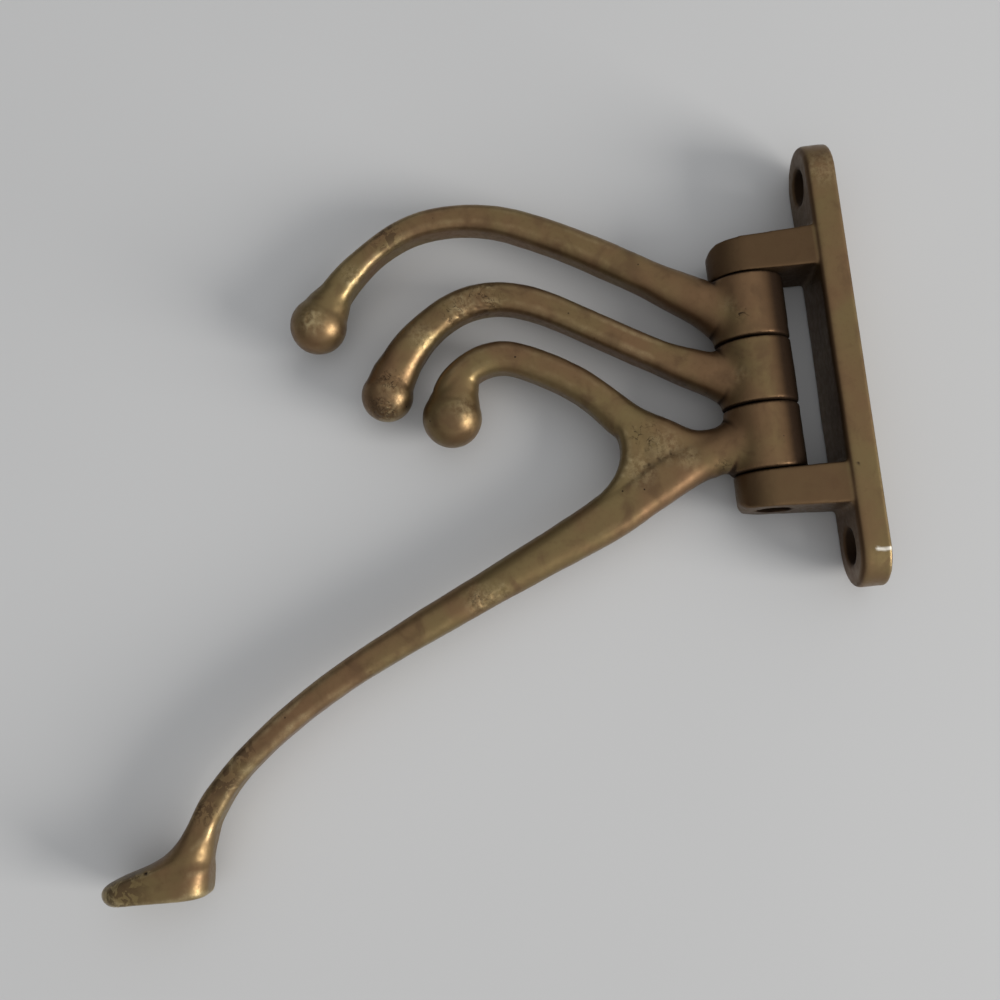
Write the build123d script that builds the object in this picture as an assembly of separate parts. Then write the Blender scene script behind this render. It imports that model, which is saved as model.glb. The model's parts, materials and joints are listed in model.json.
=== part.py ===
from build123d import *
import os
from collections import namedtuple

# The frame: X along the wall, -Y straight out from the wall, +Z up.
# The origin is the middle of the wall plate's back face.
# "out" is a distance from the wall, "up" a height above the plate's middle.

# Wall plate
plate_height = 100.0
plate_width = 17.0
plate_thickness = 6.4
plate_front_round = 1.3
plate_back_break = 0.4

# Screw holes, countersunk from the front
screw_spacing = 82.0
screw_hole_radius = 2.4
countersink_radius = 4.4

# Hinge pin, which runs through both lugs and the three knuckles
pin_out = plate_thickness + 15.0
pin_radius = 3.5
pin_lug_clearance = 0.05
pin_knuckle_clearance = 0.08
pin_end_break = 0.5
pin_recess = 1.5

# Lugs cast on the plate: the knuckles stand between them
knuckle_space = 44.0
knuckle_space_mid = 1.5
lug_half_width = 7.75
lug_root_thickness = 9.0
lug_tip_thickness = 7.6
lug_corner_round = 2.4
lug_edge_round = 0.7
lug_socket_depth = 5.5

# Knuckles: three barrels of one height with a thin gap at every face
knuckle_radius = 8.3
knuckle_gap = 0.35
knuckle_edge_break = 0.35
knuckle_height = (knuckle_space - 4 * knuckle_gap) / 3
knuckle_pitch = knuckle_height + knuckle_gap
relief_radius = knuckle_radius + 0.6

# A cast section is a rounded rectangle: the nearer to square, the rounder
flat_rounding = 0.36
square_rounding = 0.48
flat_ratio = 0.8

# The skin of an arm passes through sections at about this spacing
skin_step = 4.5

# Arms: each section is placed on the centreline by out and up.
# "thick" is measured in the plane of the arm, "wide" along the wall.
Section = namedtuple("Section", "out up thick wide")

lower_arm = [
    Section(out=26.0, up=-13.4, thick=13.4, wide=12.4),
    Section(out=31.9, up=-16.7, thick=9.9, wide=10.4),
    Section(out=43.0, up=-23.5, thick=7.4, wide=8.8),
    Section(out=64.5, up=-35.8, thick=7.1, wide=8.4),
    Section(out=75.4, up=-40.2, thick=6.4, wide=8.4),
    Section(out=84.5, up=-41.5, thick=5.8, wide=8.4),
    Section(out=95.0, up=-40.2, thick=5.4, wide=8.2),
    Section(out=104.6, up=-35.0, thick=5.5, wide=8.0),
    Section(out=111.6, up=-28.6, thick=6.7, wide=8.2),
    Section(out=117.4, up=-20.4, thick=9.2, wide=9.2),
]
lower_ball_radius = 6.4

middle_arm = [
    Section(out=26.0, up=1.9, thick=12.4, wide=12.4),
    Section(out=32.6, up=-0.4, thick=9.0, wide=10.2),
    Section(out=42.0, up=-4.9, thick=6.7, wide=8.7),
    Section(out=59.5, up=-15.2, thick=6.5, wide=8.4),
    Section(out=69.0, up=-20.2, thick=6.7, wide=8.4),
    Section(out=77.0, up=-22.2, thick=6.8, wide=8.4),
    Section(out=85.2, up=-21.2, thick=7.1, wide=8.4),
    Section(out=92.2, up=-17.3, thick=7.5, wide=8.6),
    Section(out=98.8, up=-10.6, thick=8.8, wide=9.4),
    Section(out=103.2, up=-2.6, thick=9.6, wide=9.6),
]
middle_ball_radius = 5.8

coat_arm = [
    Section(out=31.0, up=17.2, thick=7.4, wide=8.0),
    Section(out=37.5, up=16.5, thick=8.8, wide=8.3),
    Section(out=44.0, up=13.6, thick=9.4, wide=8.4),
    Section(out=51.0, up=8.7, thick=8.5, wide=8.4),
    Section(out=57.0, up=2.6, thick=7.3, wide=8.4),
    Section(out=69.6, up=-5.9, thick=7.2, wide=8.4),
    Section(out=77.6, up=-8.5, thick=7.0, wide=8.4),
    Section(out=84.4, up=-6.6, thick=6.8, wide=8.4),
    Section(out=89.3, up=4.0, thick=9.4, wide=9.4),
]
coat_ball_radius = 6.6

hat_prong = [
    Section(out=26.0, up=16.8, thick=13.4, wide=12.4),
    Section(out=33.0, up=17.8, thick=9.9, wide=10.2),
    Section(out=44.5, up=22.4, thick=10.6, wide=9.2),
    Section(out=55.6, up=28.6, thick=10.4, wide=8.6),
    Section(out=72.6, up=36.8, thick=8.8, wide=8.4),
    Section(out=98.0, up=48.6, thick=7.2, wide=8.2),
    Section(out=121.6, up=60.7, thick=5.9, wide=8.0),
    Section(out=134.2, up=69.3, thick=5.4, wide=7.8),
    Section(out=142.8, up=76.9, thick=5.3, wide=7.8),
    Section(out=148.0, up=83.6, thick=5.8, wide=8.2),
]

# Hat rest at the prong's end: level sections from the ankle to the sole, toe pointing out
hat_rest = [
    Section(out=150.5, up=88.2, thick=7.4, wide=9.0),
    Section(out=153.0, up=91.8, thick=10.8, wide=10.6),
    Section(out=157.0, up=94.6, thick=17.6, wide=12.0),
    Section(out=159.6, up=97.0, thick=22.4, wide=13.0),
    Section(out=159.7, up=99.2, thick=22.0, wide=13.0),
    Section(out=159.2, up=100.4, thick=18.4, wide=10.0),
]

# The inner edge of the fork between the coat arm and the hat prong
fork_rim = [
    Section(out=57.9, up=2.2, thick=6.2, wide=7.9),
    Section(out=51.0, up=9.6, thick=6.2, wide=7.9),
    Section(out=49.9, up=14.3, thick=6.2, wide=7.9),
    Section(out=51.0, up=19.6, thick=6.2, wide=7.9),
    Section(out=57.9, up=27.8, thick=6.2, wide=7.9),
    Section(out=66.0, up=32.6, thick=6.2, wide=7.9),
]

# The web behind that rim: a plain wedge from the waist of the hook
web_wide = 7.6
web_tip_out = 38.0
web_tip_up = 17.8


def place(out, up, along=0.0):
    """A point of the frame from its distance to the wall and its height."""
    return Vector(along, -out, up)


def between(first, second, share):
    """The section that lies a share of the way from the first to the second."""
    return Section(*[a + (b - a) * share for a, b in zip(first, second)])


def cast_section(section, origin, ahead):
    """A rounded rectangle square to the direction ahead."""
    small, large = sorted((section.thick, section.wide))
    square = max(0.0, small / large - flat_ratio) / (1 - flat_ratio)
    corner = small * (flat_rounding + (square_rounding - flat_rounding) * square)
    plane = Plane(origin=origin, x_dir=(1, 0, 0), z_dir=ahead)
    return plane * RectangleRounded(section.wide, section.thick, corner)


def cast_arm(arm, level_end=()):
    """A smooth skin along the curved centreline of an arm, then up any level sections."""
    centres = [place(section.out, section.up) for section in arm]
    line = Spline(*centres)
    marks = [line.param_at_point(centre) for centre in centres]
    skin = []
    for first, second, start, end in zip(arm, arm[1:], marks, marks[1:]):
        count = max(1, round(line.length * (end - start) / skin_step))
        for step in range(count):
            share = step / count
            mark = start + (end - start) * share
            skin.append(cast_section(between(first, second, share), line @ mark, line % mark))
    skin.append(cast_section(arm[-1], line @ 1, line % 1))
    for section in level_end:
        skin.append(cast_section(section, place(section.out, section.up), (0, 0, 1)))
    return loft(skin)


def ball(arm, radius):
    """The round end of a hook, on the last section of its arm."""
    return Pos(*place(arm[-1].out, arm[-1].up)) * Sphere(radius)


def pin_cylinder(radius, bottom, top):
    """A cylinder on the hinge axis between two heights."""
    middle = (bottom + top) / 2
    return Pos(*place(pin_out, middle)) * Cylinder(radius, top - bottom)


def knuckle_bottom(index):
    """The height of a knuckle's lower face, counted from the lowest one."""
    return knuckle_space_mid - knuckle_space / 2 + knuckle_gap + index * knuckle_pitch


def on_knuckle(index, arms):
    """Joins arms to their barrel, faces it for its neighbours and bores it for the pin."""
    bottom = knuckle_bottom(index)
    top = bottom + knuckle_height
    barrel = pin_cylinder(knuckle_radius, bottom, top)
    rims = barrel.edges().filter_by(GeomType.CIRCLE)
    hook = chamfer(rims, knuckle_edge_break)
    for arm in arms:
        hook += arm
    hook -= pin_cylinder(relief_radius, bottom - knuckle_height, bottom)
    hook -= pin_cylinder(relief_radius, top, top + knuckle_height)
    hook -= pin_cylinder(pin_radius + pin_knuckle_clearance, bottom, top)
    return hook


def fork_web():
    """The wedge that fills the fork behind its rim."""
    rim = [place(section.out, section.up) for section in fork_rim[:-1]]
    corners = [(-web_tip_out, web_tip_up)] + [(centre.Y, centre.Z) for centre in rim]
    return extrude(Plane.YZ * Polygon(*corners, align=None), web_wide / 2, both=True)


def lug(inner, side):
    """One lug: a tapered side view cut to a round-ended plan."""
    tip_out = pin_out + lug_half_width
    root = plate_thickness / 2
    outline = [
        (-root, inner),
        (-tip_out, inner),
        (-tip_out, inner + side * lug_tip_thickness),
        (-root, inner + side * lug_root_thickness),
    ]
    side_view = Plane.YZ * Polygon(*outline, align=None)
    corner = side_view.vertices().sort_by(Axis.Y)[:2].sort_by(Axis.Z)[-1 if side > 0 else 0]
    side_view = fillet(corner, lug_corner_round)
    slab = extrude(side_view, lug_half_width, both=True)
    plan = Rectangle(2 * lug_half_width, pin_out, align=(Align.CENTER, Align.MAX))
    plan += Pos(0, -pin_out) * Circle(lug_half_width)
    column = extrude(plan, plate_height / 2, both=True)
    return slab & column


def screw_hole(up):
    """A hole through the plate with a cone that opens to the front."""
    cone_depth = countersink_radius - screw_hole_radius
    towards_wall = Plane(origin=place(plate_thickness, up), x_dir=(1, 0, 0), z_dir=(0, 1, 0))
    shank = Cylinder(screw_hole_radius, plate_thickness, align=(Align.CENTER, Align.CENTER, Align.MIN))
    cone = Cone(countersink_radius, screw_hole_radius, cone_depth,
                align=(Align.CENTER, Align.CENTER, Align.MIN))
    return towards_wall * (shank + cone)


def wall_plate():
    """The round-ended plate with its two lugs, in one casting."""
    wall = Plane(origin=(0, 0, 0), x_dir=(0, 0, 1), z_dir=(0, -1, 0))
    plate = extrude(wall * SlotOverall(plate_height, plate_width), plate_thickness)
    plate = fillet(plate.faces().sort_by(Axis.Y)[0].edges(), plate_front_round)
    plate = chamfer(plate.faces().sort_by(Axis.Y)[-1].edges(), plate_back_break)
    lower_inner = knuckle_space_mid - knuckle_space / 2
    upper_inner = knuckle_space_mid + knuckle_space / 2
    plate += lug(lower_inner, -1)
    plate += lug(upper_inner, 1)
    hole_radius = pin_radius + pin_lug_clearance
    plate -= pin_cylinder(hole_radius, lower_inner - lug_socket_depth, plate_height / 2)
    for up in (-screw_spacing / 2, screw_spacing / 2):
        plate -= screw_hole(up)
    return plate


def hinge_pin():
    """A plain round pin that stands on the floor of the lower lug's socket."""
    bottom = knuckle_space_mid - knuckle_space / 2 - lug_socket_depth
    top = knuckle_space_mid + knuckle_space / 2 + lug_tip_thickness - pin_recess
    pin = pin_cylinder(pin_radius, bottom, top)
    return chamfer(pin.edges().filter_by(GeomType.CIRCLE), pin_end_break)


def lower_hook():
    """The lowest hook, with the longest shank."""
    return on_knuckle(0, [cast_arm(lower_arm), ball(lower_arm, lower_ball_radius)])


def middle_hook():
    """The middle hook, with a club end."""
    return on_knuckle(1, [cast_arm(middle_arm), ball(middle_arm, middle_ball_radius)])


def upper_hook():
    """The double hook: a coat hook below and a long prong with a hat rest above."""
    coat_hook = [cast_arm(coat_arm), ball(coat_arm, coat_ball_radius)]
    fork = [cast_arm(fork_rim), fork_web()]
    return on_knuckle(2, coat_hook + [cast_arm(hat_prong, hat_rest)] + fork)


def main():
    os.makedirs("parts", exist_ok=True)
    for make in (wall_plate, hinge_pin, lower_hook, middle_hook, upper_hook):
        export_step(make(), f"parts/{make.__name__}.step")


if __name__ == "__main__":
    main()
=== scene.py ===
import json
import math
from collections import namedtuple

import bmesh
import bpy
import numpy as np
from bpy.props import (
    FloatProperty,
    FloatVectorProperty,
    IntProperty,
    PointerProperty,
)
from mathutils import Matrix, Vector, noise


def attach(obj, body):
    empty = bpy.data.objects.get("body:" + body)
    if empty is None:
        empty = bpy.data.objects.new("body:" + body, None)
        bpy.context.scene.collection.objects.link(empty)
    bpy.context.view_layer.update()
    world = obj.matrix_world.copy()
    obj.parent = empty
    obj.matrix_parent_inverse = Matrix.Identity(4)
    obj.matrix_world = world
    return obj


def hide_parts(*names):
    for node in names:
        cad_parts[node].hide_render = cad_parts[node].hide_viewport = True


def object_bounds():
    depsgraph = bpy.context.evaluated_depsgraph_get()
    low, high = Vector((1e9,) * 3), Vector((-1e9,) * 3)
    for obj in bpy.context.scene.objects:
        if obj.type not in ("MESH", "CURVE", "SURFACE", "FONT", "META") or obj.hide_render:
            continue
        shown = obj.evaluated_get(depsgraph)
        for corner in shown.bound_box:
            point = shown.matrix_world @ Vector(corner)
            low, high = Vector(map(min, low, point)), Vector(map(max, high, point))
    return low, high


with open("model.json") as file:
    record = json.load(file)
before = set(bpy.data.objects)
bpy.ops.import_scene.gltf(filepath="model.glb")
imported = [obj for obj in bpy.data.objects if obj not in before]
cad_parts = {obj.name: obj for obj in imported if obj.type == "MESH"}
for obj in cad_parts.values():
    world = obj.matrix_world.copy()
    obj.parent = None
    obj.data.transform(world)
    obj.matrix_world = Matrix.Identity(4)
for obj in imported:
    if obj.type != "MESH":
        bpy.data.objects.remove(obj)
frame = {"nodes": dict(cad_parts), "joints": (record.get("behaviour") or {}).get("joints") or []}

bl_info = {
    "name": "Swivel Coat Hook",
    "version": (1, 0, 0),
    "blender": (4, 5, 0),
    "location": "View3D > Sidebar > Coat Hook",
    "description": "Dresses a three-armed swivel coat hook in aged cast brass",
    "category": "Object",
}

MM = 0.001
CAD_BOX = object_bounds()

# Places in millimetres from the middle of the plate's back
PIN_OUT = -1000 * frame["joints"][0]["pos_m"][1]
SCREW_UP = 41.0
PLATE_FRONT = 6.4
KNUCKLE_BOTTOM = -20.15
KNUCKLE_HEIGHT = 14.2
KNUCKLE_GAP = 0.35
KNUCKLE_SPACE_MID = 1.5

# Radii in millimetres: what is nearer the pin's line than BORE_REACH is a bore's wall
BORE_REACH = 3.9
LUG_BORE = 3.56
KNUCKLE_BORE = 3.62

# How dark each place is painted, from 0 to 1: the plate's own darker tone, and painted shade in the
# recesses, between the parts and where the window's light doesn't reach, partly over real dirt and oxide
DIRT_PLATE = 0.14
SHADE_PLATE_FRONT = 0.62
SHADE_LOW_LUG = 0.55
SHADE_HIGH_LUG = 0.45
SHADE_AND_DIRT_LUG_INSIDE = 0.7
SHADE_SCREW_HOLE = 0.95
SHADE_BORE = 0.97
SHADE_PIN = 0.75
SHADE_AND_OXIDE_KNUCKLE_BACK = 0.97
SHADE_KNUCKLE_ENDS = 0.85


# Settings

class CastingSizes(bpy.types.PropertyGroup):
    """Sizes of the cast skin that every piece of the hook gets"""

    skin_step: FloatProperty(
        name="Skin Step",
        description="Size of the small quads that a casting's skin is made of",
        default=0.36 * MM,
        min=0.2 * MM,
        unit="LENGTH",
        precision=5,
    )
    pin_step: FloatProperty(
        name="Pin Step",
        description="Size of the quads on the hinge pin",
        default=0.3 * MM,
        min=0.15 * MM,
        unit="LENGTH",
        precision=5,
    )
    fillet_passes: IntProperty(
        name="Fillet Passes",
        description="How often the hollows where an arm meets its knuckle are filled",
        default=190,
        min=0,
    )
    root_passes: IntProperty(
        name="Root Passes",
        description="How often the skin is smoothed where an arm leaves its knuckle",
        default=60,
        min=0,
    )
    soften_passes: IntProperty(
        name="Soften Passes",
        description="How often the whole skin is smoothed, which rounds its edges",
        default=2,
        min=0,
    )
    wave_depth: FloatProperty(
        name="Wave Depth",
        description="Depth of the slow unevenness left by hand filing",
        default=0.11 * MM,
        unit="LENGTH",
        precision=5,
    )
    ripple_depth: FloatProperty(
        name="Ripple Depth",
        description="Depth of the sand mould's coarser grain",
        default=0.035 * MM,
        unit="LENGTH",
        precision=5,
    )
    lump_depth: FloatProperty(
        name="Lump Depth",
        description="Height of the lumps where the casting is rough",
        default=0.12 * MM,
        unit="LENGTH",
        precision=5,
    )
    crack_depth: FloatProperty(
        name="Crack Depth",
        description="Depth of the fine winding grooves and cuts",
        default=0.16 * MM,
        unit="LENGTH",
        precision=5,
    )


class BrassColours(bpy.types.PropertyGroup):
    """Colours and finish of the aged brass"""

    # The deep and dark patina colours also colour the painted shade
    deep: FloatVectorProperty(
        name="Deep Patina",
        description="Colour of the patina in hollows and on dirt",
        subtype="COLOR",
        size=3,
        default=(0.03, 0.018, 0.011),
        min=0,
        max=1,
    )
    dark: FloatVectorProperty(
        name="Dark Patina",
        description="Colour of the darker brown faces",
        subtype="COLOR",
        size=3,
        default=(0.12, 0.07, 0.036),
        min=0,
        max=1,
    )
    olive: FloatVectorProperty(
        name="Olive Patina",
        description="Colour of the greener faces",
        subtype="COLOR",
        size=3,
        default=(0.19, 0.137, 0.06),
        min=0,
        max=1,
    )
    warm: FloatVectorProperty(
        name="Warm Patina",
        description="Colour of the redder brown patches",
        subtype="COLOR",
        size=3,
        default=(0.185, 0.108, 0.054),
        min=0,
        max=1,
    )
    worn: FloatVectorProperty(
        name="Worn Brass",
        description="Colour of the brass that hands have rubbed clean",
        subtype="COLOR",
        size=3,
        default=(0.44, 0.345, 0.185),
        min=0,
        max=1,
    )
    scratch: FloatVectorProperty(
        name="Scratch",
        description="Colour of a fresh scratch down to bare metal",
        subtype="COLOR",
        size=3,
        default=(0.8, 0.78, 0.72),
        min=0,
        max=1,
    )
    metal: FloatProperty(
        name="Metallic",
        description="How much of the surface answers light as metal",
        default=0.85,
        min=0,
        max=1,
        subtype="FACTOR",
    )
    roughness: FloatProperty(
        name="Roughness",
        description="Roughness of the clean faces",
        default=0.4,
        min=0,
        max=1,
        subtype="FACTOR",
    )


class StageSizes(bpy.types.PropertyGroup):
    """The table, the light and the camera"""

    table_colour: FloatVectorProperty(
        name="Table",
        description="Colour of the table top",
        subtype="COLOR",
        size=3,
        default=(0.575, 0.58, 0.583),
        min=0,
        max=1,
    )
    room_colour: FloatVectorProperty(
        name="Room",
        description="Colour of the light from all round",
        subtype="COLOR",
        size=3,
        default=(0.71, 0.715, 0.725),
        min=0,
        max=1,
    )
    room_dim: FloatProperty(
        name="Room Dimness",
        description="Share of the light that comes from the room's dim side",
        default=0.22,
        min=0,
        max=1,
        subtype="FACTOR",
    )
    room_lean: FloatProperty(
        name="Room Lean",
        description="How much the room's light comes from above rather than the window's side",
        default=0.9,
        min=0,
    )
    table_width: FloatProperty(
        name="Table Width",
        description="Width and length of the table top",
        default=4.0,
        unit="LENGTH",
    )
    window_watts: FloatProperty(
        name="Window Light",
        description="Power of the low window light",
        default=37.0,
        min=0,
        subtype="POWER",
    )
    window_colour: FloatVectorProperty(
        name="Window Colour",
        description="Colour of the low window light",
        subtype="COLOR",
        size=3,
        default=(1.0, 0.97, 0.93),
        min=0,
        max=1,
    )
    window_size: FloatProperty(
        name="Window Size",
        description="Width of the low window light",
        default=0.9,
        unit="LENGTH",
    )
    window_distance: FloatProperty(
        name="Window Distance",
        description="Distance of the window light from the hook",
        default=2.0,
        unit="LENGTH",
    )
    window_height: FloatProperty(
        name="Window Height",
        description="Angle of the window light above the table",
        default=math.radians(20),
        subtype="ANGLE",
    )
    window_heading: FloatProperty(
        name="Window Heading",
        description="Direction of the window light round the table, from the wall plate's back",
        default=math.radians(25),
        subtype="ANGLE",
    )
    lens: FloatProperty(
        name="Lens",
        description="Focal length of the camera",
        default=39.6,
        min=1,
        unit="CAMERA",
    )
    camera_place: FloatVectorProperty(
        name="Camera Place",
        description="Where the camera is",
        subtype="TRANSLATION",
        size=3,
        default=(-0.23848, -0.07643, 0.05899),
        unit="LENGTH",
        precision=5,
    )
    camera_turn: FloatVectorProperty(
        name="Camera Turn",
        description="How the camera is turned",
        subtype="EULER",
        size=3,
        default=tuple(math.radians(a) for a in (-81.444, -5.548, 88.192)),
    )


# Meshes

def linked(name, mesh):
    """Puts a mesh in the scene as an object and returns the object."""
    piece = bpy.data.objects.new(name, mesh)
    bpy.context.scene.collection.objects.link(piece)
    return piece


def welded_copy(node, name):
    """A copy of a packed solid with its split edges joined again."""
    mesh = frame["nodes"][node].data.copy()
    mesh.materials.clear()
    work = bmesh.new()
    work.from_mesh(mesh)
    bmesh.ops.remove_doubles(work, verts=work.verts, dist=0.001 * MM)
    work.to_mesh(mesh)
    work.free()
    return linked(name, mesh)


def even_skin(piece, step):
    """Rebuilds the piece's surface from small quads of one size."""
    remesh = piece.modifiers.new("skin", "REMESH")
    remesh.mode = "VOXEL"
    remesh.voxel_size = step
    found = bpy.context.evaluated_depsgraph_get()
    mesh = bpy.data.meshes.new_from_object(piece.evaluated_get(found))
    piece.modifiers.clear()
    rough = piece.data
    piece.data = mesh
    bpy.data.meshes.remove(rough)
    mesh.name = piece.name


class Skin:
    """The points of an even mesh, in millimetres, with the means to press and smooth them."""

    def __init__(self, mesh):
        self.mesh = mesh
        self.count = len(mesh.vertices)
        points = np.empty(self.count * 3)
        mesh.vertices.foreach_get("co", points)
        self.points = points.reshape(-1, 3) / MM
        ends = np.empty(len(mesh.edges) * 2, dtype=np.int32)
        mesh.edges.foreach_get("vertices", ends)
        self.ends = ends.reshape(-1, 2)
        self.shares = np.maximum(self.gather(np.ones(self.count)), 1.0)

    def gather(self, values):
        """Sum of the neighbours' values at each point."""
        one, two = self.ends.T
        return (np.bincount(one, values[two], self.count)
                + np.bincount(two, values[one], self.count))

    def averaged(self, values, passes):
        """Values smoothed over the skin."""
        for _ in range(passes):
            values = 0.5 * values + 0.5 * self.gather(values) / self.shares
        return values

    def pull(self):
        """The step from each point to the middle of its neighbours."""
        middle = [self.gather(self.points[:, k]) / self.shares for k in range(3)]
        return np.stack(middle, 1) - self.points

    def store(self):
        self.mesh.vertices.foreach_set("co", (self.points * MM).ravel())
        self.mesh.update()

    def normals(self):
        self.store()
        found = np.empty(self.count * 3)
        self.mesh.vertices.foreach_get("normal", found)
        return found.reshape(-1, 3)

    def hollowness(self):
        """How far each point lies below its neighbours, in millimetres."""
        return np.einsum("ij,ij->i", self.pull(), self.normals())

    def fill_hollows(self, passes, loose, threshold):
        """Fills sharp hollows where loose is above zero, and leaves edges as they are."""
        for turn in range(passes):
            if turn % 4 == 0:
                normals = self.normals()
            rise = np.einsum("ij,ij->i", self.pull(), normals) - threshold
            rise = np.clip(rise, 0, None) * loose
            self.points += normals * rise[:, None] * 0.9

    def soften(self, passes, loose):
        """Smooths the skin without shrinking it."""
        for _ in range(passes):
            self.points += self.pull() * (0.5 * loose)[:, None]
            self.points -= self.pull() * (0.52 * loose)[:, None]
            self.points += self.pull() * (0.35 * loose)[:, None]

    def press(self, depths):
        """Moves each point along its normal."""
        self.points += self.normals() * depths[:, None]

    def keep(self, name, values):
        """Stores one number for each point, which the finish reads."""
        layer = self.mesh.attributes.new(name, "FLOAT", "POINT")
        layer.data.foreach_set("value", values.astype(np.float32))


def grain(points, size, seed, octaves=3):
    """Layered noise at each point, about -1 to 1, with lumps of that size in millimetres."""
    shift = Vector((seed * 17.3, seed * 5.1, seed * 11.7))
    return np.array([noise.fractal(Vector(p) / size + shift, 1.0, 2.0, octaves) for p in points])


def near(points, places):
    """1 inside any of the round places (x, y, z, radius), falling to 0 outside."""
    found = np.zeros(len(points))
    for x, y, z, radius in places:
        away = np.linalg.norm(points - (x, y, z), axis=1) / radius
        found = np.maximum(found, np.clip(1.6 * (1 - away), 0, 1))
    return found


def along(points, lines):
    """1 on any of the lines (x, y, z, x, y, z, half width), falling to 0 beside them."""
    found = np.zeros(len(points))
    for line in lines:
        start, end, half = np.array(line[:3]), np.array(line[3:6]), line[6]
        way = end - start
        share = np.clip((points - start) @ way / (way @ way), 0, 1)
        away = np.linalg.norm(points - start - share[:, None] * way, axis=1) / half
        found = np.maximum(found, np.clip(1.5 * (1 - away), 0, 1))
    return found


def ramp(values, low, high):
    """Values taken evenly from 0 at low to 1 at high."""
    return np.clip((values - low) / (high - low), 0, 1)


def from_pin(points):
    """Distance of each point from the pin's line."""
    return np.hypot(points[:, 0], points[:, 1] + PIN_OUT)


def true_bore(skin, reach, radius):
    """Puts the wall of the bore back on a true cylinder."""
    away = from_pin(skin.points)
    wall = away < reach
    share = np.where(wall, radius / np.maximum(away, 0.01), 1.0)
    skin.points[:, 0] *= share
    skin.points[:, 1] = (skin.points[:, 1] + PIN_OUT) * share - PIN_OUT


def cast_texture(skin, sizes, marks, loose):
    """Presses the mould's unevenness, its grain, its rough spots and its pits into the skin."""
    where, seed = skin.points, marks.seed
    wave = grain(where, 14.0, seed, 2) * sizes.wave_depth / MM
    ripple = grain(where, 3.2, seed + 1, 2) * sizes.ripple_depth / MM
    rough, cracked = near(where, marks.rough), near(where, marks.cracked)
    lumps, worms = np.zeros(skin.count), np.zeros(skin.count)
    lumps[rough > 0] = grain(where[rough > 0], 1.5, seed + 4, 3)
    lumps *= rough * sizes.lump_depth / MM
    worms[cracked > 0] = ramp(-np.abs(grain(where[cracked > 0], 2.6, seed + 5, 2)), -0.12, 0)
    worms *= cracked
    hollow = worms * sizes.crack_depth / MM + along(where, marks.cuts) * sizes.crack_depth / MM
    for x, y, z, radius, depth in marks.pits:
        hollow += near(where, [(x, y, z, radius)]) * depth
    skin.press((wave + ripple + lumps - hollow) * loose)


def dress(piece, skin, marks, shade_and_dirt):
    """Stores where the piece is worn, where patina lies in its hollows, where shade and dirt are painted
    and where it is marked.
    """
    where = skin.points
    bend = skin.hollowness()
    fine = skin.averaged(bend, 2)
    broad = skin.averaged(bend, 14)
    off_hinge = ramp(from_pin(where), 9.0, 13.0)
    worn = (ramp(-fine, 0.004, 0.022) * 0.55 + ramp(-broad, 0.002, 0.013) * 0.45)
    skin.keep("wear", worn * (marks.worn + (1 - marks.worn) * off_hinge * marks.handled))
    skin.keep("hollow", ramp(fine, 0.006, 0.03))
    # How dark each point is painted: mostly painted shade, with some real dirt and the plate's own darker
    # tone
    skin.keep("shade_and_dirt", shade_and_dirt)
    skin.keep("rough", near(where, marks.rough))
    skin.keep("cracked", near(where, marks.cracked))
    skin.keep("flaked", near(where, marks.flaked))
    pits = [(x, y, z, radius) for x, y, z, radius, depth in marks.pits]
    skin.keep("pitted", np.maximum(near(where, pits), along(where, marks.cuts)))
    skin.keep("scratched", along(where, marks.scratches))
    skin.store()
    piece.data.polygons.foreach_set("use_smooth", np.ones(len(piece.data.polygons), dtype=bool))


# Materials

class Graph:
    """Adds shader nodes to a material or a world and wires them."""

    def __init__(self, owner):
        owner.use_nodes = True
        self.nodes = owner.node_tree.nodes
        self.links = owner.node_tree.links
        self.nodes.clear()

    def add(self, kind, inputs=None, **settings):
        node = self.nodes.new(kind)
        for key, value in settings.items():
            setattr(node, key, value)
        for socket, value in (inputs or {}).items():
            if isinstance(value, bpy.types.NodeSocket):
                self.links.new(value, node.inputs[socket])
            else:
                node.inputs[socket].default_value = value
        return node

    def noise(self, where, scale, detail=4.0, roughness=0.55, distortion=0.0):
        return self.add("ShaderNodeTexNoise", {
            "Vector": where, "Scale": scale, "Detail": detail,
            "Roughness": roughness, "Distortion": distortion,
        }).outputs["Fac"]

    def spread(self, value, low, high, least=0.0, most=1.0):
        """Value from low to high taken smoothly to least to most."""
        return self.add("ShaderNodeMapRange", {
            "Value": value, "From Min": low, "From Max": high, "To Min": least, "To Max": most,
        }, interpolation_type="SMOOTHSTEP").outputs["Result"]

    def sum(self, kind, one, two):
        return self.add("ShaderNodeMath", {0: one, 1: two}, operation=kind).outputs[0]

    def blend(self, share, under, over, kind="MIX"):
        """Colour over on colour under, by a share."""
        node = self.add("ShaderNodeMix", {"Factor": share}, data_type="RGBA", blend_type=kind)
        for socket, value in (("A", under), ("B", over)):
            place = [s for s in node.inputs if s.name == socket and s.type == "RGBA"][0]
            if isinstance(value, bpy.types.NodeSocket):
                self.links.new(value, place)
            else:
                place.default_value = (*value, 1.0)
        return [s for s in node.outputs if s.type == "RGBA"][0]

    def stored(self, name):
        return self.add("ShaderNodeAttribute", attribute_name=name).outputs["Fac"]


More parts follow.
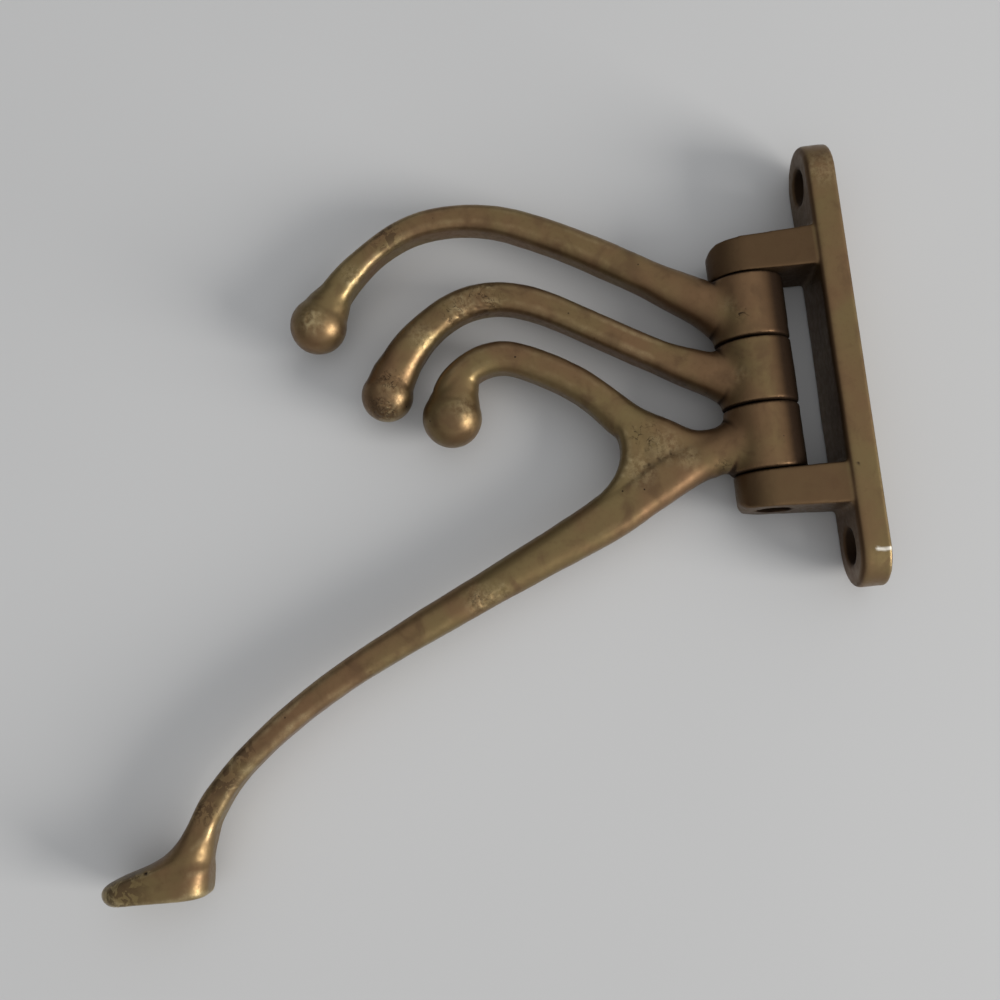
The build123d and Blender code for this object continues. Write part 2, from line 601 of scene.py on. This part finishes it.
def aged_brass(name, colours, seed):
    """Cast brass with a brown and olive patina, rubbed bright on its edges, with painted shade darkening
    its recesses and the faces turned from the light.
    """
    material = bpy.data.materials.new(name)
    g = Graph(material)
    place = g.add("ShaderNodeTexCoord").outputs["Object"]
    shift = (seed * 3.7, seed * 1.9, seed * 2.3)
    where = g.add("ShaderNodeMapping", {"Vector": place, "Location": shift,
                                        "Scale": (1000, 1000, 1000)}).outputs[0]
    wear, hollow, shade_and_dirt = g.stored("wear"), g.stored("hollow"), g.stored("shade_and_dirt")
    rough, cracked, flaked = g.stored("rough"), g.stored("cracked"), g.stored("flaked")
    pitted, scratched = g.stored("pitted"), g.stored("scratched")
    broad = g.noise(where, 0.05, 3.0, 0.55, 0.3)
    patch = g.noise(where, 0.15, 4.0, 0.55, 0.5)
    speckle = g.noise(where, 0.8, 4.0, 0.65)
    dust = g.noise(where, 3.0, 3.0, 0.6)

    base = g.blend(g.spread(broad, 0.36, 0.64), colours.olive[:], colours.warm[:])
    base = g.blend(g.spread(patch, 0.5, 0.72, 0.0, 0.7), base, colours.dark[:])
    base = g.blend(g.spread(speckle, 0.52, 0.75, 0.0, 0.25), base, colours.dark[:])
    rubbed = g.sum("MULTIPLY", g.spread(wear, 0.2, 1.0), g.spread(patch, 0.64, 0.4, 0.3, 1.0))
    rubbed = g.sum("MULTIPLY", rubbed, g.spread(dust, 0.35, 0.6, 0.6, 0.95))
    base = g.blend(rubbed, base, colours.worn[:])
    pale = g.sum("MULTIPLY", rough, g.spread(speckle, 0.38, 0.62, 0.0, 0.3))
    base = g.blend(pale, base, colours.worn[:])

    lines = g.sum("ABSOLUTE", g.sum("SUBTRACT", g.noise(where, 0.34, 3.0, 0.6, 0.8), 0.5), 0.0)
    lines = g.sum("MULTIPLY", cracked, g.spread(lines, 0.02, 0.006, 0.0, 0.7))
    crust = g.sum("MULTIPLY", rough, g.spread(dust, 0.5, 0.66, 0.0, 0.22))
    island = g.spread(g.noise(where, 0.42, 4.0, 0.65, 1.0), 0.46, 0.51)
    scale = g.sum("MULTIPLY", g.sum("MULTIPLY", flaked, island), 0.55)
    base = g.blend(scale, base, colours.dark[:])
    base = g.blend(g.sum("MULTIPLY", scale, 0.6), base, colours.deep[:])
    cell = g.add("ShaderNodeTexVoronoi", {"Vector": where, "Scale": 0.3, "Randomness": 1.0})
    dots = g.sum("MULTIPLY", g.spread(cell.outputs["Distance"], 0.075, 0.05),
                 g.spread(patch, 0.52, 0.6))
    dirt = g.sum("MULTIPLY", g.spread(hollow, 0.1, 0.9), 0.85)
    # Painted shade, with some real dirt and the plate's own darker tone, darkens the colour where the
    # stored shade mask is high and blackens it where the mask is highest
    base = g.blend(g.spread(shade_and_dirt, 0.03, 0.6, 0.0, 0.9), base, colours.dark[:])
    deep_shade_and_grime = g.spread(shade_and_dirt, 0.35, 1.0)
    for share in (dirt, crust, lines, dots, pitted, deep_shade_and_grime):
        base = g.blend(share, base, colours.deep[:])
    base = g.blend(scratched, base, colours.scratch[:])

    dull = g.sum("MAXIMUM", g.sum("MAXIMUM", dirt, crust), g.sum("MAXIMUM", deep_shade_and_grime, scratched))
    gloss = g.spread(speckle, 0.3, 0.7, colours.roughness - 0.06, colours.roughness + 0.08)
    gloss = g.sum("SUBTRACT", gloss, g.sum("MULTIPLY", rubbed, 0.12))
    gloss = g.sum("ADD", gloss, g.sum("MULTIPLY", dull, 0.3))
    height = g.sum("ADD", g.sum("MULTIPLY", speckle, 0.5), g.sum("MULTIPLY", dust, 0.15))
    height = g.sum("SUBTRACT", height, g.sum("ADD", dots, lines))
    bump = g.add("ShaderNodeBump", {"Height": height, "Strength": 0.3, "Distance": 0.1 * MM})
    shine = g.spread(shade_and_dirt, 0.1, 0.8, 0.5, 0.05)
    shader = g.add("ShaderNodeBsdfPrincipled", {
        "Base Color": base, "Roughness": gloss, "Metallic": colours.metal,
        "Specular IOR Level": shine, "Normal": bump.outputs[0],
    })
    g.add("ShaderNodeOutputMaterial", {"Surface": shader.outputs[0]})
    return material


def table_top(colour):
    """A matt pale table, shown from above only."""
    material = bpy.data.materials.new("table_top")
    g = Graph(material)
    place = g.add("ShaderNodeTexCoord").outputs["Object"]
    cloud = g.noise(place, 5.0, 3.0, 0.5)
    shade = g.blend(g.spread(cloud, 0.3, 0.7), [c * 0.965 for c in colour], colour[:])
    shader = g.add("ShaderNodeBsdfPrincipled", {"Base Color": shade, "Roughness": 0.6,
                                                "Specular IOR Level": 0.2})
    clear = g.add("ShaderNodeBsdfTransparent")
    behind = g.add("ShaderNodeNewGeometry").outputs["Backfacing"]
    mixed = g.add("ShaderNodeMixShader", {0: behind, 1: shader.outputs[0], 2: clear.outputs[0]})
    g.add("ShaderNodeOutputMaterial", {"Surface": mixed.outputs[0]})
    return material


def room_light(world, sizes, window):
    """A pale room, dimmer low down on the side away from the window."""
    g = Graph(world)
    out = g.add("ShaderNodeOutputWorld")
    way = g.add("ShaderNodeTexCoord").outputs["Generated"]
    side = (Vector((-1, 0, 0)) * sizes.room_lean + window).normalized()
    facing = g.add("ShaderNodeVectorMath", {0: way, 1: side}, operation="DOT_PRODUCT")
    level = g.spread(facing.outputs["Value"], -0.35, 0.75, sizes.room_dim, 1.0)
    shade = g.blend(level, (0, 0, 0), sizes.room_colour[:])
    g.add("ShaderNodeBackground", {"Color": shade})
    g.links.new(g.nodes["Background"].outputs[0], out.inputs["Surface"])


# Operators

class COATHOOK_OT_stage(bpy.types.Operator):
    """Lay out the table, the light and the camera"""

    bl_idname = "coathook.stage"
    bl_label = "Stage"

    def execute(self, context):
        sizes = context.scene.coathook_stage
        half = sizes.table_width / 2
        level = CAD_BOX[1].x + 0.05 * MM
        corners = [(level, -half, -half), (level, -half, half), (level, half, half), (level, half, -half)]
        mesh = bpy.data.meshes.new("table")
        mesh.from_pydata([Vector(c) for c in corners], [], [(0, 1, 2, 3)])
        mesh.update()
        table = linked("table", mesh)
        if mesh.polygons[0].normal.x > 0:
            mesh.flip_normals()
        mesh.materials.append(table_top(sizes.table_colour))

        world = bpy.data.worlds.new("room")
        context.scene.world = world
        middle = (CAD_BOX[0] + CAD_BOX[1]) / 2
        up, round_table = sizes.window_height, sizes.window_heading
        towards = Vector((-math.sin(up), math.cos(up) * math.cos(round_table),
                          math.cos(up) * math.sin(round_table)))
        room_light(world, sizes, towards)
        lamp = bpy.data.lights.new("window", "AREA")
        lamp.shape = "RECTANGLE"
        lamp.size = sizes.window_size
        lamp.size_y = sizes.window_size
        lamp.energy = sizes.window_watts
        lamp.color = sizes.window_colour
        window = bpy.data.objects.new("window", lamp)
        window.location = middle + towards * sizes.window_distance
        window.rotation_mode = "QUATERNION"
        window.rotation_quaternion = towards.to_track_quat("Z", "Y")
        context.scene.collection.objects.link(window)

        lens = bpy.data.cameras.new("camera")
        lens.lens = sizes.lens
        lens.sensor_width = 36.0
        lens.clip_start = 0.01
        lens.clip_end = 20.0
        camera = bpy.data.objects.new("camera", lens)
        camera.location = sizes.camera_place
        camera.rotation_euler = sizes.camera_turn
        context.scene.collection.objects.link(camera)
        context.scene.camera = camera
        context.scene.view_settings.view_transform = "Standard"
        return {"FINISHED"}


def add_swellings(piece, swellings):
    """Adds chains of beads (out, up, thick, wide), which the even skin takes in."""
    work = bmesh.new()
    work.from_mesh(piece.data)
    for chain in swellings:
        chain = np.array(chain, dtype=float)
        for first, last in zip(chain, chain[1:]):
            for share in np.linspace(0, 1, 7):
                out, up, thick, wide = (first + (last - first) * share) * MM
                shape = Matrix.Translation((0, -out, up)) @ Matrix.Diagonal((wide, thick, thick, 1))
                bmesh.ops.create_uvsphere(work, u_segments=40, v_segments=24, radius=0.5, matrix=shape)
    work.to_mesh(piece.data)
    work.free()


# What shows on a casting. A place is x, y, z and radius in millimetres, a pit has its depth
# too, and a cut or a scratch has two ends and half its width. worn is the share of rubbed
# brass near the hinge, handled the share away from it.
Marks = namedtuple("Marks", "seed worn handled rough cracked flaked pits cuts scratches")


def cast_piece(node, name, sizes, marks, swellings, loose_of):
    """A casting made from a packed solid: even skin, filled hollows and a cast surface."""
    piece = welded_copy(node, name)
    add_swellings(piece, swellings)
    even_skin(piece, sizes.skin_step)
    skin = Skin(piece.data)
    if not skin.count:
        raise RuntimeError(f"{node} gave an empty skin")
    loose, fixed, roots = loose_of(skin)
    skin.soften(1, np.ones(skin.count))
    skin.fill_hollows(sizes.fillet_passes, loose, 0.01)
    skin.soften(sizes.root_passes, roots)
    skin.soften(sizes.soften_passes, fixed)
    cast_texture(skin, sizes, marks, fixed)
    return piece, skin


PLATE_MARKS = Marks(
    seed=3, worn=0.2, handled=0.2,
    rough=[(-8, -3, -42, 6)],
    cracked=[], flaked=[],
    pits=[(-8.5, -4.6, 24.4, 0.4, 0.1)],
    cuts=[(-7.9, -28.6, 25.2, -7.9, -24.6, 27.6, 0.3)],
    scratches=[(-8.6, -3.1, 42.7, -8.6, -1.6, 42.95, 0.55),
               (-8.6, -1.6, 42.95, -8.5, -0.2, 42.8, 0.5)],
)


class COATHOOK_OT_wall_plate(bpy.types.Operator):
    """Dress the wall plate and its two lugs"""

    bl_idname = "coathook.wall_plate"
    bl_label = "Wall Plate"

    def execute(self, context):
        def screw_away(where):
            return np.hypot(where[:, 0], np.abs(where[:, 2]) - SCREW_UP)

        def loose_of(skin):
            where = skin.points
            screw = screw_away(where)
            off_bore = ramp(from_pin(where), 4.0, 5.2)
            off_back = ramp(-where[:, 1], 0.6, 1.6)
            off_screw = ramp(screw, 5.0, 6.0)
            fixed = off_bore * off_back * ramp(screw, 2.6, 3.8)
            return off_bore * off_screw, fixed, np.zeros(skin.count)

        piece, skin = cast_piece("wall_plate", "plate_and_lugs", context.scene.coathook_casting,
                                 PLATE_MARKS, [], loose_of)
        true_bore(skin, BORE_REACH, LUG_BORE)
        where, facing = skin.points, skin.normals()
        on_plate = ramp(where[:, 1], -PLATE_FRONT - 0.5, -PLATE_FRONT + 0.2)
        # Painted shade and painted dark reflection on the plate's front face
        front = ramp(-facing[:, 1], 0.25, 0.6) * on_plate * SHADE_PLATE_FRONT
        # Painted shade: both lugs are darkened all over, the lower one more
        lugs = (1 - on_plate) * np.where(where[:, 2] < 0, SHADE_LOW_LUG, SHADE_HIGH_LUG)
        # Painted shade over some real dirt on the lugs' inner faces beside the knuckles
        inner = ramp(-np.abs(where[:, 2] - KNUCKLE_SPACE_MID), -23.5, -22.5)
        inner *= ramp(np.abs(facing[:, 2]), 0.6, 0.9) * (1 - on_plate) * SHADE_AND_DIRT_LUG_INSIDE
        # Painted shade in the screw holes
        holes = ramp(-screw_away(where), -4.5, -3.9) * SHADE_SCREW_HOLE
        holes *= ramp(where[:, 1], -PLATE_FRONT, -PLATE_FRONT + 0.4)
        # Painted shade in the lugs' bores
        socket = ramp(-from_pin(where), -4.1, -3.7) * SHADE_BORE
        # The plate's own darker tone joins the painted shade
        shade_and_dirt = np.maximum.reduce([front, lugs, inner, holes, socket, on_plate * DIRT_PLATE])
        dress(piece, skin, PLATE_MARKS, skin.averaged(shade_and_dirt, 2))
        piece.data.materials.append(aged_brass("plate_brass", context.scene.coathook_brass, 3))
        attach(piece, "mount")
        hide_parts("wall_plate")
        return {"FINISHED"}


PIN_MARKS = Marks(seed=9, worn=0.3, handled=0.3, rough=[], cracked=[], flaked=[],
                  pits=[], cuts=[], scratches=[])


class COATHOOK_OT_hinge_pin(bpy.types.Operator):
    """Dress the hinge pin"""

    bl_idname = "coathook.hinge_pin"
    bl_label = "Hinge Pin"

    def execute(self, context):
        piece = welded_copy("hinge_pin", "turned_pin")
        even_skin(piece, context.scene.coathook_casting.pin_step)
        skin = Skin(piece.data)
        if not skin.count:
            raise RuntimeError("hinge_pin gave an empty skin")
        skin.soften(2, np.ones(skin.count))
        # The whole pin is darkened: painted shade of the bore it sits in
        dress(piece, skin, PIN_MARKS, np.full(skin.count, SHADE_PIN))
        piece.data.materials.append(aged_brass("pin_brass", context.scene.coathook_brass, 9))
        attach(piece, "mount")
        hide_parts("hinge_pin")
        return {"FINISHED"}


# Each hook: node, shown name, body, marks and swellings.
# A swelling is a chain of beads: out from the wall, up, thick and wide, in millimetres.
HOOKS = (
    ("lower_hook", "lower_swing_hook", "lower", Marks(
        seed=11, worn=0.12, handled=1.0,
        rough=[(-8.2, -27.4, -13.6, 3.0), (-5.2, -118, -20, 4), (-4.5, -108.4, -29.9, 3.5)],
        cracked=[(-8.2, -24.5, -11, 2.5)], flaked=[(-4.3, -100, -38, 5)],
        pits=[(-8.4, -25.8, -13.9, 0.5, 0.25), (-8.3, -28.8, -13.8, 0.45, 0.25),
              (-8.3, -29.8, -13.7, 0.4, 0.2)],
        cuts=[(-4.3, -109.4, -29.4, -4.8, -111.6, -26.6, 0.4)], scratches=[]),
     [[(113.0, -27.1, 7.4, 8.8), (115.3, -23.8, 10.1, 10.4), (117.4, -20.5, 12.2, 12.0)],
      [(32.0, -16.8, 9.9, 11.0), (37.0, -19.8, 8.2, 9.6)]]),
    ("middle_hook", "middle_swing_hook", "middle", Marks(
        seed=23, worn=0.12, handled=1.0,
        rough=[(-4.3, -84.5, -20.3, 4), (-8.2, -27, 2.1, 3), (-4.3, -94, -14, 4)],
        cracked=[(-4.3, -80.5, -21.3, 6.5), (-4.3, -86.3, -18.9, 4), (-5.2, -103.6, 1.8, 5.5),
                 (-4.5, -101.5, -4.5, 4)],
        flaked=[(-4.5, -105, 2.5, 5)],
        pits=[(-8.3, -26.2, 0.6, 0.5, 0.22), (-8.3, -26.8, 3.2, 0.4, 0.2),
              (-4.6, -88.0, -17.2, 0.6, 0.25), (-4.6, -87.0, -17.4, 0.4, 0.25)],
        cuts=[(-8.4, -27.4, 0.2, -8.4, -25.4, 1.0, 0.3)], scratches=[]),
     [[(98.6, -10.9, 8.9, 9.2), (101.5, -6.7, 10.2, 10.0), (103.4, -2.7, 10.9, 10.8)],
      [(32.0, -0.2, 9.2, 11.0), (37.0, -2.4, 7.8, 9.4)]]),
    ("upper_hook", "upper_double_hook", "upper", Marks(
        seed=37, worn=0.12, handled=1.0,
        rough=[(-4, -43.8, 16.2, 5), (-4, -49.8, 20.4, 5), (-4, -39.2, 18.9, 3.5),
               (-4.2, -86.3, 44.9, 5.0), (-4.5, -82.5, 44.5, 4), (-6, -86, 3, 4)],
        cracked=[(-4, -47.8, 12.9, 4.5), (-4.2, -86.3, 44.9, 3.5), (-4.5, -31.7, 22.2, 3.0)],
        flaked=[(-4.1, -139.9, 71.2, 4.5), (-4.1, -144.0, 77.0, 5), (-4.1, -148, 83.1, 4),
                (-5, -165.2, 96.7, 6.5)],
        pits=[(-5.6, -160.5, 94.1, 0.5, 0.25), (-4.4, -42.6, 17.0, 0.45, 0.2),
              (-4.4, -46.2, 15.8, 0.4, 0.2), (-4.4, -38.0, 20.2, 0.4, 0.2),
              (-4.5, -87.6, 1.9, 0.4, 0.2)],
        cuts=[(-4.0, -109.2, 57.0, -3.6, -111.4, 57.9, 0.35),
              (-4.0, -74.0, 41.2, -4.0, -76.6, 42.2, 0.3)],
        scratches=[]),
     [[(86.2, -4.3, 7.4, 8.7), (87.8, -1.0, 9.6, 9.8), (88.8, 1.9, 11.8, 11.4),
       (89.2, 4.0, 12.6, 12.2)],
      [(32.0, 17.6, 10.0, 11.0), (37.0, 19.2, 9.8, 10.0)]]),
)


class COATHOOK_OT_swing_hooks(bpy.types.Operator):
    """Dress the three hooks that swing on the pin"""

    bl_idname = "coathook.swing_hooks"
    bl_label = "Swinging Hooks"

    def execute(self, context):
        sizes = context.scene.coathook_casting
        for index, (node, name, body, marks, swellings) in enumerate(HOOKS):
            bottom = KNUCKLE_BOTTOM + index * (KNUCKLE_HEIGHT + KNUCKLE_GAP)

            def from_ends(up):
                return np.minimum(up - bottom, bottom + KNUCKLE_HEIGHT - up)

            def loose_of(skin):
                away = from_pin(skin.points)
                off_bore = ramp(away, 4.0, 4.6)
                barrel = ramp(from_ends(skin.points[:, 2]), 0.5, 1.6)
                free = np.maximum(ramp(from_ends(skin.points[:, 2]), 0.3, 1.2), ramp(away, 11.5, 13.0))
                loose = off_bore * np.maximum(barrel, ramp(away, 9.6, 10.6)) * free
                outward = ramp(-skin.points[:, 1], PIN_OUT + 2.0, PIN_OUT + 5.0)
                roots = loose * outward * ramp(away, 5.5, 7.5) * ramp(-away, -21, -15)
                return loose, off_bore * free, roots

            piece, skin = cast_piece(node, name, sizes, marks, swellings, loose_of)
            true_bore(skin, BORE_REACH, KNUCKLE_BORE)
            where, facing = skin.points, skin.normals()
            at_hinge = ramp(-from_pin(where), -9.4, -8.9)
            # Painted shade and painted dark reflection over some real oxide on the knuckles' wall side,
            # where the plate hides the window
            back = ramp(where[:, 1], -21.5, -16.5) * at_hinge * SHADE_AND_OXIDE_KNUCKLE_BACK
            # Painted shade on the knuckles' ends and in the gaps between them, which also hides the
            # window's reflection in their rims
            ends = ramp(np.abs(facing[:, 2]), 0.2, 0.6) * at_hinge * SHADE_KNUCKLE_ENDS
            # Painted shade in the knuckles' bores
            bore = ramp(-from_pin(where), -4.2, -3.8) * SHADE_BORE
            dress(piece, skin, marks, np.maximum.reduce([back, ends, bore]))
            piece.data.materials.append(
                aged_brass(body + "_brass", context.scene.coathook_brass, marks.seed))
            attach(piece, body)
            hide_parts(node)
        return {"FINISHED"}


class COATHOOK_PT_sidebar(bpy.types.Panel):
    """The coat hook's sizes, colours and pieces"""

    bl_idname = "COATHOOK_PT_sidebar"
    bl_label = "Coat Hook"
    bl_space_type = "VIEW_3D"
    bl_region_type = "UI"
    bl_category = "Coat Hook"

    def draw(self, context):
        for group in SETTINGS:
            box = self.layout.box()
            box.label(text=group.__doc__)
            values = getattr(context.scene, SETTINGS[group])
            for name in group.__annotations__:
                box.prop(values, name)
        for operator in OPERATORS:
            self.layout.operator(operator.bl_idname)


SETTINGS = {
    CastingSizes: "coathook_casting",
    BrassColours: "coathook_brass",
    StageSizes: "coathook_stage",
}
OPERATORS = (
    COATHOOK_OT_stage,
    COATHOOK_OT_wall_plate,
    COATHOOK_OT_hinge_pin,
    COATHOOK_OT_swing_hooks,
)


def register():
    for group, name in SETTINGS.items():
        bpy.utils.register_class(group)
        setattr(bpy.types.Scene, name, PointerProperty(type=group))
    for each in (*OPERATORS, COATHOOK_PT_sidebar):
        bpy.utils.register_class(each)


def unregister():
    for each in (COATHOOK_PT_sidebar, *reversed(OPERATORS)):
        bpy.utils.unregister_class(each)
    for group, name in SETTINGS.items():
        delattr(bpy.types.Scene, name)
        bpy.utils.unregister_class(group)


def main():
    """Dresses the whole hook."""
    register()
    bpy.ops.coathook.stage()
    bpy.ops.coathook.wall_plate()
    bpy.ops.coathook.hinge_pin()
    bpy.ops.coathook.swing_hooks()


if __name__ == "__main__":
    main()
